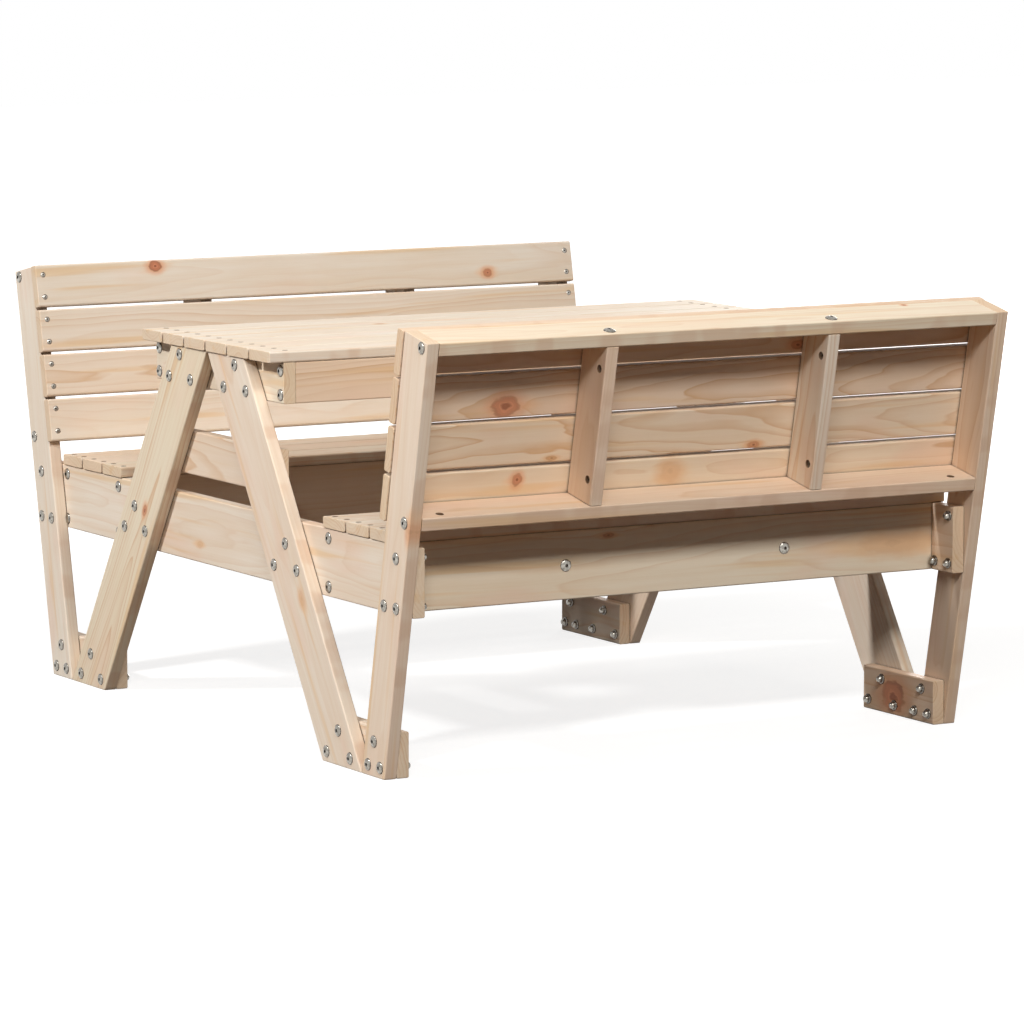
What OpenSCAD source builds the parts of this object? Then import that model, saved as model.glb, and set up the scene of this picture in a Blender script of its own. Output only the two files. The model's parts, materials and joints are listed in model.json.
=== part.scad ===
// Picnic table for children with two fixed benches that have slatted backrests.
// X runs along the slats, Y from the front bench to the rear bench, Z up from the floor.
// Each piece is drawn at the right-hand end or on the rear side and mirrored to the other.

/* [Frame] */
// Length over the outer faces of the legs and posts
frame_length = 880; // [700:10:1200]
// Thickness of every frame board
board_t = 18; // [16:1:24]
// Width of the slanted legs
leg_w = 90; // [80:1:110]
// Width of the backrest posts
post_w = 60; // [56:1:75]
// Outward lean of the backrest posts, in degrees
post_lean = 11.5; // [8:0.5:14]
// Distance from the middle of the table to the joint of leg and post on the floor
foot_joint_y = 433.5; // [415:0.5:480]
// Gap between two boards that meet end to end at the floor or at the top
meet_gap = 1; // [0.5:0.5:3]
// Height of the boards that join leg and post at the floor
foot_board_h = 60; // [56:1:75]

/* [Table] */
// Height of the table top
table_h = 522; // [500:1:580]
// Number of slats in the table top
table_slats = 6; // [5:1:7]
// Reach of the table slats beyond the outer faces of the legs
table_overhang = 3; // [0:0.5:10]
// Height of the cleats and aprons under the table top
apron_h = 55; // [52:1:70]
// Reach of the table top beyond the aprons
apron_inset = 1.5; // [0:0.5:10]
// Height of the middle of the brace behind the legs
brace_z = 360; // [345:1:370]
// Width of the brace
brace_w = 60; // [56:1:70]
// Reach of the brace beyond the middle line of each leg
brace_reach = 20; // [19:1:26]

/* [Benches] */
// Height of the crossbars' lower edge
crossbar_z = 212; // [190:1:230]
// Width of the crossbars and of the boards and ribs under the seats
crossbar_w = 90; // [86:1:100]
// Number of slats in each seat
seat_slats = 3; // [2:1:3]
// Reach of the seat slats beyond the crossbars
seat_overhang = 2; // [0:0.5:10]
// Reach of the foremost seat slat beyond the board under it
seat_nosing = 3; // [0:0.5:10]
// Clearance between the seat and the posts behind it
seat_clearance = 7; // [2:0.5:15]
// Number of slats in each backrest
back_slats = 4; // [2:1:4]
// Reach of the backrest slats beyond the posts
back_overhang = 2; // [0:0.5:10]
// Clearance between the seat and the lowest backrest slat
back_clearance = 16.4; // [8:0.2:40]
// Height of the backrest frame, over both rails
back_frame_h = 248; // [230:1:260]
// Distance from the middle to the centre of each rib, in the seats and backrests
rib_x = 168; // [120:1:220]

/* [Slats] */
// Width of a slat
slat_w = 60; // [54:1:62]
// Thickness of a slat
slat_t = 15; // [12:1:18]
// Gap between two slats
slat_gap = 4; // [2:0.5:8]

/* [Fasteners] */
// Spacing of the bolts and screws
hole_pitch = 32; // [28:1:34]
// Thread diameter of the bolts
bolt_d = 6; // [5:0.5:7]
// Diameter of the bolt heads
bolt_head_d = 16; // [13:0.5:18]
// Height of the bolt heads
bolt_head_h = 3; // [2:0.5:5]
// Width of the hexagon socket in the bolt heads
socket_w = 4; // [3:0.5:5]
// Diameter of the cap nuts
nut_d = 14; // [12:0.5:16]
// Height of the cap nuts
nut_h = 8; // [7:0.5:10]
// Diameter of the barrel nuts
barrel_d = 10; // [9:0.5:12]
// Distance of the barrel nuts from the end of their board
barrel_depth = 32; // [24:1:40]
// Distance from the outer edge of the backrest to its bolts
back_bolt_inset = 13.5; // [11:0.5:18]
// Height of the lowest bolts above the floor
foot_bolt_z = 14; // [12:0.5:18]
// Diameter of the screw heads
screw_head_d = 7.5; // [6:0.5:9]
// Diameter of the screws
screw_d = 3.5; // [3:0.5:4.5]
// Greatest grip of the slat screws in the board below
screw_grip = 22; // [10:1:24]
// Clearance round a bolt, a screw or a nut in its hole
hole_play = 0.2; // [0.1:0.05:0.3]
// Least wood left between a slat screw and a bolt below it
screw_to_bolt = 1; // [0.5:0.5:3]

/* [Hidden] */
$fn = 48;
ENDS = [-1, 1];
SIDES = [-1, 1];

// planes across the length
x_out = frame_length / 2;
x_mid = x_out - board_t;
x_in = x_mid - board_t;

// slats
slat_pitch = slat_w + slat_gap;
under_z = table_h - slat_t;
table_half = (table_slats * slat_pitch - slat_gap) / 2;
screw_inset = (slat_w - hole_pitch) / 2;

// slanted legs: a board of leg_w from the floor joint up to the middle of the table top
leg_foot_y = foot_joint_y - meet_gap / 2;
leg_run = leg_foot_y - meet_gap / 2;
leg_lean = acos(leg_w / norm([leg_run, under_z])) - atan2(under_z, leg_run);
leg_cut = leg_w / cos(leg_lean);

// posts: the lower end is cut level, the upper end square
post_in = foot_joint_y + meet_gap / 2;
post_cut = post_w / cos(post_lean);
post_out = post_in + post_cut;

// crossbars and seats
crossbar_top = crossbar_z + crossbar_w;
crossbar_mid = crossbar_z + crossbar_w / 2;
crossbar_half = post_out + crossbar_z * tan(post_lean);
seat_rear = post_in + crossbar_top * tan(post_lean) - seat_clearance;
seat_front = seat_rear - seat_slats * slat_pitch + slat_gap;
rear_board_y = seat_rear - board_t / 2;
front_board_y = seat_front + seat_nosing + board_t / 2;

// cleats and aprons
apron_z = under_z - apron_h;
apron_mid = apron_z + apron_h / 2;
cleat_half = table_half - apron_inset;
apron_y = cleat_half - board_t / 2;

// backrest, measured up along the post from the floor corner of its outer edge
back_foot_up = (crossbar_top + slat_t + back_clearance - post_w * sin(post_lean)) / cos(post_lean);
post_length = back_foot_up + back_slats * slat_pitch - slat_gap;
top_rail_up = post_length - board_t;
bottom_rail_up = post_length - back_frame_h;
rib_up = bottom_rail_up + board_t;
rib_length = top_rail_up - rib_up;

// fasteners
bolt_hole_r = bolt_d / 2 + hole_play;
barrel_r = barrel_d / 2;
barrel_sunk = 2.5;
barrel_length = board_t - 2 * barrel_sunk;
barrel_hole_floor = 2;
barrel_hole_depth = board_t - barrel_hole_floor;
through_bolt_length = 2 * board_t + nut_h * 0.7;
joint_bolt_length = board_t + barrel_depth + barrel_r * 0.8;
brace_screw_grip = 10;
brace_screw_length = board_t + brace_screw_grip;
eps = 0.01;

// screws of the table and seats end above the bolts in the board below
cleat_grip = min(screw_grip, apron_h / 2 - hole_pitch / 2 - bolt_hole_r - screw_to_bolt);
seat_grip = min(screw_grip, crossbar_w / 2 - hole_pitch - bolt_hole_r - screw_to_bolt);

// middle line of a slanted leg and of a post at height z
function leg_y(z) = leg_foot_y - leg_cut / 2 - z * tan(leg_lean);
function post_y(z) = post_in + post_cut / 2 + z * tan(post_lean);

// names of the four corners and of the two ends and sides
function end_name(e) = e < 0 ? "left" : "right";
function side_name(s) = s < 0 ? "front" : "rear";
function corner_name(base, e, s) = str(base, "_", side_name(s), "_", end_name(e));

// three bolts as a triangle: two below, spread by a width, and one above their middle
function triangle(y, z, spread, up) = [[y - spread / 2, z], [y + spread / 2, z], [y, z + up]];

// bolts that run along X through the leg, given as [y, z] on the rear side
leg_cleat_bolts = triangle(leg_y(apron_mid - hole_pitch / 2), apron_mid - hole_pitch / 2,
                           2 * hole_pitch, hole_pitch);
leg_crossbar_bolts = triangle(leg_y(crossbar_mid - hole_pitch / 2), crossbar_mid - hole_pitch / 2,
                              2 * hole_pitch, hole_pitch);
leg_foot_bolts = triangle(leg_y(foot_bolt_z), foot_bolt_z, 2 * hole_pitch, hole_pitch);

// bolts that run along X through the post, their nuts clear of the board behind the seat
post_low_y = max(post_y(crossbar_mid - hole_pitch), seat_rear + nut_d / 2 + hole_play + hole_pitch / 2);
post_crossbar_bolts = [
    [post_low_y - hole_pitch / 2, crossbar_mid - hole_pitch],
    [post_low_y + hole_pitch / 2, crossbar_mid - hole_pitch],
    [post_low_y + hole_pitch / 2, crossbar_mid + hole_pitch]
];
post_foot_bolts = triangle(post_y(foot_bolt_z), foot_bolt_z, hole_pitch, hole_pitch);

// bolts that run along X into the ends of the long boards
seat_board_bolts = [
    for (y = [front_board_y, rear_board_y]) for (z = [-hole_pitch, hole_pitch]) [y, crossbar_mid + z]
];
apron_bolts = [for (z = [-hole_pitch / 2, hole_pitch / 2]) [apron_y, apron_mid + z]];

// centres of the screws across a row of slats that starts at 0
function slat_screws(count) = [
    for (i = [0 : count - 1]) for (k = [0, 1]) i * slat_pitch + screw_inset + k * hole_pitch
];

// screws that hold the brace, one each side of the leg's middle line and clear of the brace's ends
brace_screw_inner = 4;
brace_screw_outer = 8;
brace_screws = [
    for (y = [-brace_reach + brace_screw_inner, brace_reach - brace_screw_outer])
        [leg_y(brace_z) + y, brace_z - y / 2]
];

// puts what is drawn at the right end and on the rear side at end e and side s
module at(e, s) {
    mirror([e < 0 ? 1 : 0, 0, 0])
        mirror([0, s < 0 ? 1 : 0, 0])
            children();
}

// puts children into the rear backrest's frame: Z up along the post's outer edge,
// -Y inward to the seat
module on_back() {
    translate([0, post_out, 0])
        rotate([-post_lean, 0, 0])
            children();
}

// a solid centred on x = 0
module centred_box(length, y, z, width, height) {
    translate([-length / 2, y, z])
        cube([length, width, height]);
}

// a hole or a shank along +X from the point x
module along_x(x, point, r, length) {
    translate([x, point[0], point[1]])
        rotate([0, 90, 0])
            cylinder(r = r, h = length);
}

// bolt holes through the boards between two planes across the length
module x_bolt_holes(points, x_from, x_to) {
    for (p = points)
        along_x(x_from - eps, p, bolt_hole_r, x_to - x_from + 2 * eps);
}

// bolt holes into the end of a long board that ends at x, on both ends
module end_bolt_holes(points, x) {
    for (e = ENDS)
        at(e, 1)
            x_bolt_holes(points, x - barrel_depth - barrel_r, x);
}

// a screw hole with its countersink, along -Z from the slat's face
module screw_hole(length) {
    translate([0, 0, -length - hole_play])
        cylinder(r = screw_d / 2 + hole_play, h = length + 2 * hole_play);
    translate([0, 0, -screw_head_d / 2 + screw_d / 2])
        cylinder(r1 = screw_d / 2 + hole_play, r2 = screw_head_d / 2 + hole_play,
                 h = (screw_head_d - screw_d) / 2 + eps);
}

// a countersunk screw along -Z, its head level with the slat's face
module screw(length) {
    rotate_extrude()
        polygon([[0, 0], [screw_head_d / 2, 0], [screw_d / 2, -(screw_head_d - screw_d) / 2],
                 [screw_d / 2, -length + screw_d], [0, -length]]);
}

// a domed bolt along -Z, its head resting on the plane z = 0
module bolt(length) {
    head_r = bolt_head_d / 2;
    difference() {
        rotate_extrude()
            polygon([[0, -length], [bolt_d / 2, -length], [bolt_d / 2, 0], [head_r, 0],
                     [head_r, bolt_head_h * 0.3], [head_r * 0.82, bolt_head_h * 0.75],
                     [head_r * 0.5, bolt_head_h], [0, bolt_head_h]]);
        translate([0, 0, bolt_head_h * 0.2])
            cylinder(r = socket_w / 2 / cos(30), h = bolt_head_h, $fn = 6);
    }
}

// a domed cap nut on the plane z = 0, open towards -Z
module cap_nut() {
    r = nut_d / 2;
    difference() {
        rotate_extrude()
            polygon([[0, 0], [r, 0], [r, nut_h * 0.25], [r * 0.75, nut_h * 0.35],
                     [r * 0.7, nut_h * 0.6], [r * 0.5, nut_h * 0.9], [0, nut_h]]);
        translate([0, 0, -eps])
            cylinder(r = bolt_hole_r, h = nut_h * 0.75 + eps);
    }
}

// a barrel nut along Z round the origin, with its cross hole along X
module barrel_nut() {
    difference() {
        cylinder(r = barrel_r, h = barrel_length, center = true);
        rotate([0, 90, 0])
            cylinder(r = bolt_hole_r, h = barrel_d + board_t, center = true);
    }
}

// the blind hole of a barrel nut, open towards +Z of a board with its middle at the origin
module barrel_hole() {
    translate([0, 0, board_t / 2 - barrel_hole_depth])
        cylinder(r = barrel_r + hole_play, h = barrel_hole_depth + eps);
}

// Table

module table_slat(i) {
    y = -table_half + (i - 1) * slat_pitch;
    color("burlywood")
        difference() {
            centred_box(2 * (x_out + table_overhang), y, under_z, slat_w, slat_t);
            for (x = [-1, 1] * (x_mid - board_t / 2))
                for (k = [0, 1])
                    translate([x, y + screw_inset + k * hole_pitch, table_h])
                        screw_hole(slat_t + cleat_grip);
        }
}

module table_cleat(e) {
    color("burlywood")
        at(e, 1)
            difference() {
                translate([x_in, -cleat_half, apron_z])
                    cube([board_t, 2 * cleat_half, apron_h]);
                for (s = SIDES)
                    at(1, s)
                        x_bolt_holes(concat(leg_cleat_bolts, apron_bolts), x_in, x_mid);
                for (y = slat_screws(table_slats))
                    translate([x_mid - board_t / 2, -table_half + y, table_h])
                        screw_hole(slat_t + cleat_grip);
            }
}

module table_apron(s) {
    color("burlywood")
        at(1, s)
            difference() {
                centred_box(2 * x_in, apron_y - board_t / 2, apron_z, board_t, apron_h);
                end_bolt_holes(apron_bolts, x_in);
                for (e = ENDS)
                    for (p = apron_bolts)
                        at(e, 1)
                            translate([x_in - barrel_depth, p[0], p[1]])
                                rotate([90, 0, 0])
                                    barrel_hole();
            }
}

// Ends

module leg(e, s) {
    color("burlywood")
        at(e, s)
            difference() {
                translate([x_mid, 0, 0])
                    rotate([90, 0, 90])
                        linear_extrude(board_t)
                            polygon([[leg_foot_y, 0], [leg_foot_y - leg_cut, 0],
                                     [leg_foot_y - leg_run, under_z],
                                     [leg_foot_y - leg_run + leg_cut, under_z]]);
                x_bolt_holes(concat(leg_cleat_bolts, leg_crossbar_bolts, leg_foot_bolts), x_mid, x_out);
                for (p = brace_screws)
                    along_x(x_mid - eps, p, screw_d / 2 + hole_play,
                            brace_screw_length - board_t + hole_play);
            }
}

module post(e, s) {
    color("burlywood")
        at(e, s)
            difference() {
                intersection() {
                    on_back()
                        translate([x_mid, -post_w, -post_w])
                            cube([board_t, post_w, post_length + post_w]);
                    cube([x_out + board_t, 2 * crossbar_half, 2 * post_length]);
                }
                x_bolt_holes(concat(post_crossbar_bolts, post_foot_bolts), x_mid, x_out);
                // pocket over the head of the seat board's lower bolt
                along_x(x_mid - eps, [rear_board_y, crossbar_mid - hole_pitch],
                        bolt_head_d / 2 + hole_play, bolt_head_h + hole_play);
                on_back() {
                    x_bolt_holes([for (u = [top_rail_up, bottom_rail_up]) [-back_bolt_inset, u + board_t / 2]],
                                 x_mid, x_out);
                    back_screw_holes();
                }
            }
}

module foot_board(e, s) {
    color("burlywood")
        at(e, s)
            difference() {
                translate([x_in, leg_foot_y - leg_cut, 0])
                    cube([board_t, post_out - leg_foot_y + leg_cut, foot_board_h]);
                x_bolt_holes(concat(leg_foot_bolts, post_foot_bolts), x_in, x_mid);
            }
}

module crossbar(e) {
    color("burlywood")
        at(e, 1)
            difference() {
                translate([x_in, -crossbar_half, crossbar_z])
                    cube([board_t, 2 * crossbar_half, crossbar_w]);
                for (s = SIDES)
                    at(1, s) {
                        x_bolt_holes(concat(leg_crossbar_bolts, post_crossbar_bolts, seat_board_bolts),
                                     x_in, x_mid);
                        for (y = slat_screws(seat_slats))
                            translate([x_mid - board_t / 2, seat_front + y, crossbar_top + slat_t])
                                screw_hole(slat_t + seat_grip);
                    }
            }
}

module leg_brace(e) {
    half = leg_y(brace_z) + brace_reach;
    color("burlywood")
        at(e, 1)
            difference() {
                translate([x_in, -half, brace_z - brace_w / 2])
                    cube([board_t, 2 * half, brace_w]);
                for (s = SIDES)
                    at(1, s)
                        for (p = brace_screws)
                            translate([x_in, p[0], p[1]])
                                rotate([0, -90, 0])
                                    screw_hole(brace_screw_length);
            }
}

// Seats

// a board along the seat between the crossbars, with its barrel nuts' holes towards inner
module seat_board(s, y, inner) {
    color("burlywood")
        at(1, s)
            difference() {
                centred_box(2 * x_in, y - board_t / 2, crossbar_z, board_t, crossbar_w);
                end_bolt_holes([for (z = [-1, 1]) [y, crossbar_mid + z * hole_pitch]], x_in);
                for (e = ENDS) {
                    for (z = [-1, 1])
                        at(e, 1)
                            translate([x_in - barrel_depth, y, crossbar_mid + z * hole_pitch])
                                rotate([-90 * inner, 0, 0])
                                    barrel_hole();
                    translate([e * rib_x, y - board_t, crossbar_mid])
                        rotate([-90, 0, 0])
                            cylinder(r = bolt_hole_r, h = 2 * board_t);
                }
            }
}

module seat_rib(e, s) {
    from = front_board_y + board_t / 2;
    to = rear_board_y - board_t / 2;
    color("burlywood")
        at(e, s)
            difference() {
                translate([rib_x - board_t / 2, from, crossbar_z])
                    cube([board_t, to - from, crossbar_w]);
                for (k = [[from, 1], [to, -1]]) {
                    translate([rib_x, k[0] - k[1] * eps, crossbar_mid])
                        rotate([-90 * k[1], 0, 0])
                            cylinder(r = bolt_hole_r, h = barrel_depth + barrel_r);
                    translate([rib_x, k[0] + k[1] * barrel_depth, crossbar_mid])
                        rotate([0, -90, 0])
                            barrel_hole();
                }
            }
}

module seat_slat(s, i) {
    y = seat_front + (i - 1) * slat_pitch;
    color("burlywood")
        at(1, s)
            difference() {
                centred_box(2 * (x_mid + seat_overhang), y, crossbar_top, slat_w, slat_t);
                for (x = [-1, 1] * (x_mid - board_t / 2))
                    for (k = [0, 1])
                        translate([x, y + screw_inset + k * hole_pitch, crossbar_top + slat_t])
                            screw_hole(slat_t + seat_grip);
            }
}

// Backrests, drawn in the leaning frame of on_back

module back_rail(s, up, inner) {
    color("burlywood")
        at(1, s)
            on_back()
                difference() {
                    centred_box(2 * x_mid, -post_w, up, post_w, board_t);
                    end_bolt_holes([[-back_bolt_inset, up + board_t / 2]], x_mid);
                    for (e = ENDS) {
                        at(e, 1)
                            translate([x_mid - barrel_depth, -back_bolt_inset, up + board_t / 2])
                                rotate([inner > 0 ? 0 : 180, 0, 0])
                                    barrel_hole();
                        translate([e * rib_x, -back_bolt_inset, up - eps])
                            cylinder(r = bolt_hole_r, h = board_t + 2 * eps);
                    }
                }
}

module back_rib(e, s) {
    color("burlywood")
        at(1, s)
            on_back()
                difference() {
                    translate([e * rib_x - board_t / 2, -post_w, rib_up])
                        cube([board_t, post_w, rib_length]);
                    for (k = [[rib_up, 1], [rib_up + rib_length, -1]]) {
                        translate([e * rib_x, -back_bolt_inset, k[0] - k[1] * eps])
                            rotate([k[1] > 0 ? 0 : 180, 0, 0])
                                cylinder(r = bolt_hole_r, h = barrel_depth + barrel_r);
                        translate([e * rib_x, -back_bolt_inset, k[0] + k[1] * barrel_depth])
                            rotate([0, -90, 0])
                                barrel_hole();
                    }
                }
}

// screw holes of one end of a backrest, through the slats into the post
module back_screw_holes() {
    for (u = slat_screws(back_slats))
        translate([x_mid + board_t / 2, -post_w - slat_t, post_length - u])
            rotate([90, 0, 0])
                screw_hole(slat_t + screw_grip);
}

module back_slat(s, i) {
    up = post_length - (i - 1) * slat_pitch - slat_w;
    color("burlywood")
        at(1, s)
            on_back()
                difference() {
                    centred_box(2 * (x_out + back_overhang), -post_w - slat_t, up, slat_t, slat_w);
                    for (e = ENDS)
                        at(e, 1)
                            back_screw_holes();
                }
}

// Fasteners, each kind a group of separate solids

// places children at bolts along X on one plane at both ends and sides, heads outward
module x_fasteners(points, x) {
    for (e = ENDS)
        for (s = SIDES)
            for (p = points)
                at(e, s)
                    translate([x, p[0], p[1]])
                        rotate([0, 90, 0])
                            children();
}

frame_bolt_points = concat(leg_cleat_bolts, leg_crossbar_bolts, leg_foot_bolts,
                           post_crossbar_bolts, post_foot_bolts);

module bolts() {
    color("silver") {
        x_fasteners(frame_bolt_points, x_out)
            bolt(through_bolt_length);
        x_fasteners(concat(apron_bolts, seat_board_bolts), x_mid)
            bolt(joint_bolt_length);
        for (e = ENDS)
            for (s = SIDES) {
                at(e, s)
                    on_back()
                        for (u = [top_rail_up, bottom_rail_up])
                            translate([x_out, -back_bolt_inset, u + board_t / 2])
                                rotate([0, 90, 0])
                                    bolt(joint_bolt_length);
                at(e, s)
                    on_back()
                        for (k = [[post_length, 0], [bottom_rail_up, 180]])
                            translate([rib_x, -back_bolt_inset, k[0]])
                                rotate([k[1], 0, 0])
                                    bolt(joint_bolt_length);
                at(e, s)
                    for (k = [[front_board_y - board_t / 2, 90], [rear_board_y + board_t / 2, -90]])
                        translate([rib_x, k[0], crossbar_mid])
                            rotate([k[1], 0, 0])
                                bolt(joint_bolt_length);
            }
    }
}

module cap_nuts() {
    color("silver")
        x_fasteners(frame_bolt_points, x_in)
            rotate([180, 0, 0])
                cap_nut();
}

// a barrel nut set along Y for a bolt along X
module barrel_along_y() {
    rotate([90, 0, 0])
        barrel_nut();
}

module barrel_nuts() {
    color("silver")
        for (e = ENDS)
            for (s = SIDES)
                at(e, s) {
                    for (p = concat(apron_bolts, seat_board_bolts))
                        translate([x_in - barrel_depth, p[0], p[1]])
                            barrel_along_y();
                    for (k = [[front_board_y + board_t / 2, 1], [rear_board_y - board_t / 2, -1]])
                        translate([rib_x, k[0] + k[1] * barrel_depth, crossbar_mid])
                            rotate([90, 0, 90])
                                barrel_nut();
                    on_back() {
                        for (u = [top_rail_up, bottom_rail_up])
                            translate([x_mid - barrel_depth, -back_bolt_inset, u + board_t / 2])
                                barrel_nut();
                        for (u = [rib_up + barrel_depth, rib_up + rib_length - barrel_depth])
                            translate([rib_x, -back_bolt_inset, u])
                                rotate([0, 90, 0])
                                    barrel_nut();
                    }
                }
}

module slat_screws_all() {
    color("silver")
        for (e = ENDS)
            for (s = SIDES)
                at(e, s) {
                    for (y = slat_screws(seat_slats))
                        translate([x_mid - board_t / 2, seat_front + y, crossbar_top + slat_t])
                            screw(slat_t + seat_grip);
                    for (p = brace_screws)
                        translate([x_in, p[0], p[1]])
                            rotate([0, -90, 0])
                                screw(brace_screw_length);
                    on_back()
                        for (u = slat_screws(back_slats))
                            translate([x_mid + board_t / 2, -post_w - slat_t, post_length - u])
                                rotate([90, 0, 0])
                                    screw(slat_t + screw_grip);
                }
    color("silver")
        for (e = ENDS)
            for (y = slat_screws(table_slats))
                translate([e * (x_mid - board_t / 2), -table_half + y, table_h])
                    screw(slat_t + cleat_grip);
}

for (i = [1 : table_slats])
    table_slat(i);
for (e = ENDS) {
    table_cleat(e);
    crossbar(e);
    leg_brace(e);
}
for (s = SIDES) {
    table_apron(s);
    seat_board(s, front_board_y, 1);
    seat_board(s, rear_board_y, -1);
    back_rail(s, top_rail_up, -1);
    back_rail(s, bottom_rail_up, 1);
    for (e = ENDS) {
        leg(e, s);
        post(e, s);
        foot_board(e, s);
        seat_rib(e, s);
        back_rib(e, s);
    }
    for (i = [1 : seat_slats])
        seat_slat(s, i);
    for (i = [1 : back_slats])
        back_slat(s, i);
}
bolts();
cap_nuts();
barrel_nuts();
slat_screws_all();  // slat_screws
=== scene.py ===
"""Looks of a children's picnic table with two backrest benches, in pale pine with steel fasteners.

Every board is its own mesh with eased edges and its own place in the log, so that the grain of its
faces and of its ends belongs together. Sizes of the part are in millimetres, as in the construction.
Those of materials are in metres, and so are the places of floor, lamps and camera.
"""

import json
import math
import random

import bmesh
import bpy
import numpy as np
from mathutils import Matrix, Vector

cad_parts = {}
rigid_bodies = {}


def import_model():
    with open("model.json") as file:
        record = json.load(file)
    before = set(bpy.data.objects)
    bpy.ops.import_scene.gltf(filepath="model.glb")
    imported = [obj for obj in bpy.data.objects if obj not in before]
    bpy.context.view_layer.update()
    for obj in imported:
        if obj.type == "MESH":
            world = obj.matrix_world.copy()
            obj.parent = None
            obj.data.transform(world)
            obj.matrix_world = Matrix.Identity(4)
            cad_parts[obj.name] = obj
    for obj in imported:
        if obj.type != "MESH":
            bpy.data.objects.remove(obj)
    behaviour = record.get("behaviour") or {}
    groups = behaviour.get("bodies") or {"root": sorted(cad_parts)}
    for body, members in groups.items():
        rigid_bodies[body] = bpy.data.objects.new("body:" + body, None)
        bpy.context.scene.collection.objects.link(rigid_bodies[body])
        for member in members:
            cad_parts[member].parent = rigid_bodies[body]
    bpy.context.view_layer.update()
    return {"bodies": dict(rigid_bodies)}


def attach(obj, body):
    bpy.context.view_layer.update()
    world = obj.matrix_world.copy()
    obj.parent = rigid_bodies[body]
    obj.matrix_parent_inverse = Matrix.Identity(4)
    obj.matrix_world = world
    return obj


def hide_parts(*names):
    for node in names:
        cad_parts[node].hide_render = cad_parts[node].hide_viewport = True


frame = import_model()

BODY = next(iter(frame["bodies"]))
MM = 0.001
ENDS = {"left": -1, "right": 1}
SIDES = {"front": -1, "rear": 1}
X, Y, Z = Vector((1, 0, 0)), Vector((0, 1, 0)), Vector((0, 0, 1))

# Sizes of the construction. Legs and posts lie between X_OUT and X_MID, and the crossbars, cleats and
# foot boards between X_MID and X_IN.
X_OUT, X_MID, X_IN = 440.0, 422.0, 404.0
BOARD_T = 18.0
CLEARANCE = 0.2
LEG_W, POST_W = 90.0, 60.0
SLAT_W, SLAT_T, SLAT_PITCH = 60.0, 15.0, 64.0
SLAT_GAP = SLAT_PITCH - SLAT_W
TABLE_H, TABLE_HALF, TABLE_SLATS = 522.0, 190.0, 6
UNDER_Z = TABLE_H - SLAT_T
APRON_H, CLEAT_HALF = 55.0, 188.5
APRON_Y = CLEAT_HALF - BOARD_T / 2
APRON_MID = UNDER_Z - APRON_H / 2
LEG_FOOT_Y, LEG_GAP, POST_IN = 433.0, 1.0, 434.0
LEG_RUN = LEG_FOOT_Y - LEG_GAP / 2
LEG_LEAN = math.acos(LEG_W / math.hypot(LEG_RUN, UNDER_Z)) - math.atan2(UNDER_Z, LEG_RUN)
LEG_CUT = LEG_W / math.cos(LEG_LEAN)
LEG_IN = LEG_FOOT_Y - LEG_CUT
LEG_UP = Vector((0, -math.sin(LEG_LEAN), math.cos(LEG_LEAN)))
LEG_ACROSS = Vector((0, math.cos(LEG_LEAN), math.sin(LEG_LEAN)))
POST_LEAN = math.radians(11.5)
POST_OUT = POST_IN + POST_W / math.cos(POST_LEAN)
FOOT_BOARD_H = 60.0
CROSSBAR_Z, CROSSBAR_W = 212.0, 90.0
CROSSBAR_TOP = CROSSBAR_Z + CROSSBAR_W
CROSSBAR_MID = CROSSBAR_Z + CROSSBAR_W / 2
CROSSBAR_HALF = POST_OUT + CROSSBAR_Z * math.tan(POST_LEAN)
SEAT_SLATS, BACK_SLATS = 3, 4
SEAT_TO_POST, SEAT_LIP, SEAT_TO_BACK = 7.0, 3.0, 16.4
SEAT_REAR = POST_IN + CROSSBAR_TOP * math.tan(POST_LEAN) - SEAT_TO_POST
SEAT_FRONT = SEAT_REAR - SEAT_SLATS * SLAT_PITCH + SLAT_GAP
REAR_BOARD_Y = SEAT_REAR - BOARD_T / 2
FRONT_BOARD_Y = SEAT_FRONT + SEAT_LIP + BOARD_T / 2
BACK_FOOT_Z = CROSSBAR_TOP + SLAT_T + SEAT_TO_BACK
BACK_FOOT_UP = (BACK_FOOT_Z - POST_W * math.sin(POST_LEAN)) / math.cos(POST_LEAN)
POST_LENGTH = BACK_FOOT_UP + BACK_SLATS * SLAT_PITCH - SLAT_GAP
BACK_FRAME_H = 248.0
TOP_RAIL_UP, BOTTOM_RAIL_UP = POST_LENGTH - BOARD_T, POST_LENGTH - BACK_FRAME_H
RIB_X = 168.0
RIB_UP = BOTTOM_RAIL_UP + BOARD_T
RIB_LENGTH = TOP_RAIL_UP - RIB_UP
BRACE_Z, BRACE_W, BRACE_REACH = 360.0, 60.0, 20.0
TABLE_X, SEAT_X, BACK_X = X_OUT + 3.0, X_MID + 2.0, X_OUT + 2.0

# Fasteners. BACK_BOLT is how far from a post's outer edge the bolts of the backrest are. The screws from
# above sit SCREW_DEEP lower than the others, and their heads get painted shade, which darkens them.
PITCH = 32.0
FOOT_BOLT_Z = 14.0
BACK_BOLT = 13.5
BARREL_DEPTH, BARREL_HOLE_DEPTH = 32.0, BOARD_T - 2.0
SCREW_MARGIN = (SLAT_W - PITCH) / 2
SCREW_SUNK, SCREW_DEEP, SHADED_SCREW = 0.35, 1.1, 0.8
BRACE_SCREW_YS, BRACE_SCREW_SLOPE = (-16.0, 12.0), 0.5
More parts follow.
